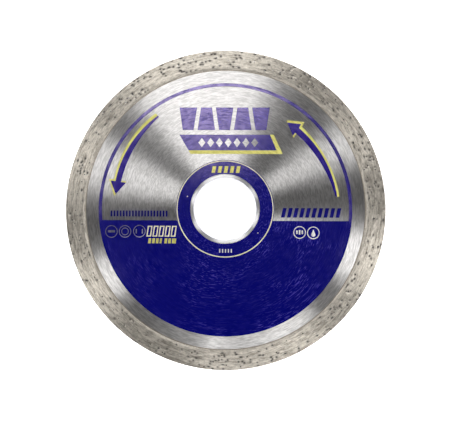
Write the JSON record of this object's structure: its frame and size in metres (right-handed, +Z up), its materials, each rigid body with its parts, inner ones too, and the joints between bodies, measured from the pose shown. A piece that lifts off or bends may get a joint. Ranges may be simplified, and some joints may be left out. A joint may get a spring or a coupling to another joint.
{
  "type": "diamond blade",
  "caption": "Thin round saw blade with a continuous sintered diamond rim, a ground steel core printed blue on one face, and a reducing bush in its bore.",
  "frame": {"origin": "centre of the bore, half way through the blade's thickness", "axes": "+Y along the spindle, from the printed face to the plain back face; X to the right and Z up as the printed face is read"},
  "size_m": [0.105, 0.002, 0.105],
  "materials": {
    "ground_steel": "bare tool steel, ground in circles about the bore, satin",
    "turned_steel": "turned bright steel",
    "bond_bronze": "diamond-free bronze base layer, dull and brown",
    "sintered_matrix": "sintered metal powder, dressed with a stone: warm grey, fine streaks along the rim and small pits",
    "diamond": "small dark facetted crystals",
    "blue_ink": "glossy screen-printed ink, deep blue, thin enough that the ground steel glints through it",
    "yellow_ink": "screen-printed ink, yellow",
    "cream_ink": "screen-printed ink, cream"
  },
  "bodies": {
    "root": {"steel_core": "ground_steel", "reducing_bush": "turned_steel", "bond_layer": "bond_bronze", "diamond_rim": "sintered_matrix", "diamond_grit": "diamond", "ink_blue_field": "blue_ink", "ink_blue_band": "blue_ink", "ink_blue_hub_ring": "blue_ink", "ink_cream_hub_line": "cream_ink", "ink_yellow_hub_row": "yellow_ink", "ink_blue_title_row": "blue_ink", "ink_blue_badge": "blue_ink", "ink_yellow_badge_edge": "yellow_ink", "ink_blue_tick_row": "blue_ink", "ink_blue_bar_row": "blue_ink", "ink_blue_arrow_left": "blue_ink", "ink_yellow_arrow_left": "yellow_ink", "ink_blue_arrow_right": "blue_ink", "ink_yellow_arrow_right": "yellow_ink", "ink_cream_speed_row": "cream_ink", "ink_yellow_speed_note": "yellow_ink"}
  },
  "joints": []
}
